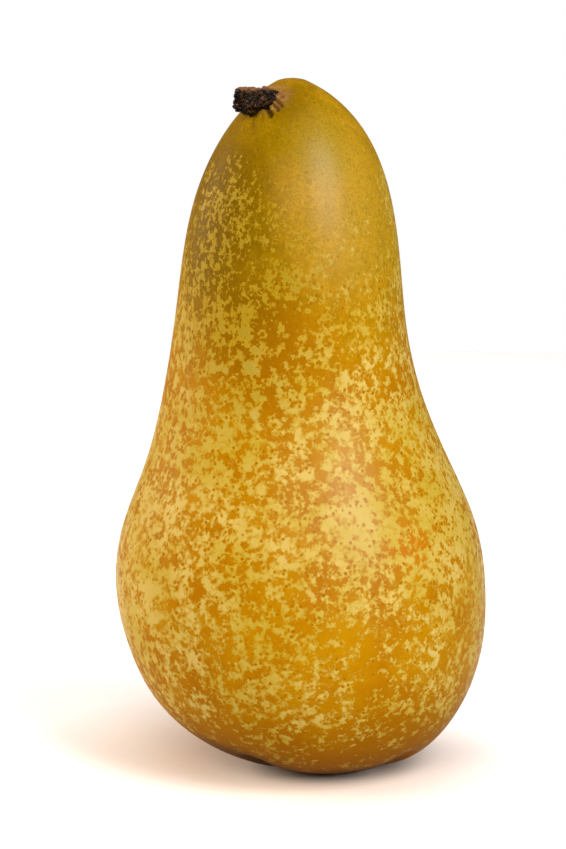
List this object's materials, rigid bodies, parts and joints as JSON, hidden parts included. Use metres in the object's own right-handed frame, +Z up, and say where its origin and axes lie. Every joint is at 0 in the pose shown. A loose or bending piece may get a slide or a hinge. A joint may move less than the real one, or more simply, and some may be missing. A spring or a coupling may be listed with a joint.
{
  "type": "pear",
  "caption": "Whole ripe pear with mottled golden russet skin, a short dark woody stem and a dry calyx in its base. It stands upright on its blossom end as food or decoration.",
  "frame": {"origin": "On the surface that the pear stands on, under the middle of its box", "axes": "+Z up, from the blossom end to the crown; +X to the right and -Y to the front, as the stem points left and forwards"},
  "size_m": [0.0706, 0.0684, 0.129],
  "materials": {
    "skin": "satin",
    "stem": "matte",
    "sepals": "matte",
    "stamens": "matte"
  },
  "bodies": {
    "root": {"fruit": "skin", "stem": "stem", "sepal_1": "sepals", "sepal_2": "sepals", "sepal_3": "sepals", "sepal_4": "sepals", "sepal_5": "sepals", "stamens": "stamens"}
  },
  "joints": []
}
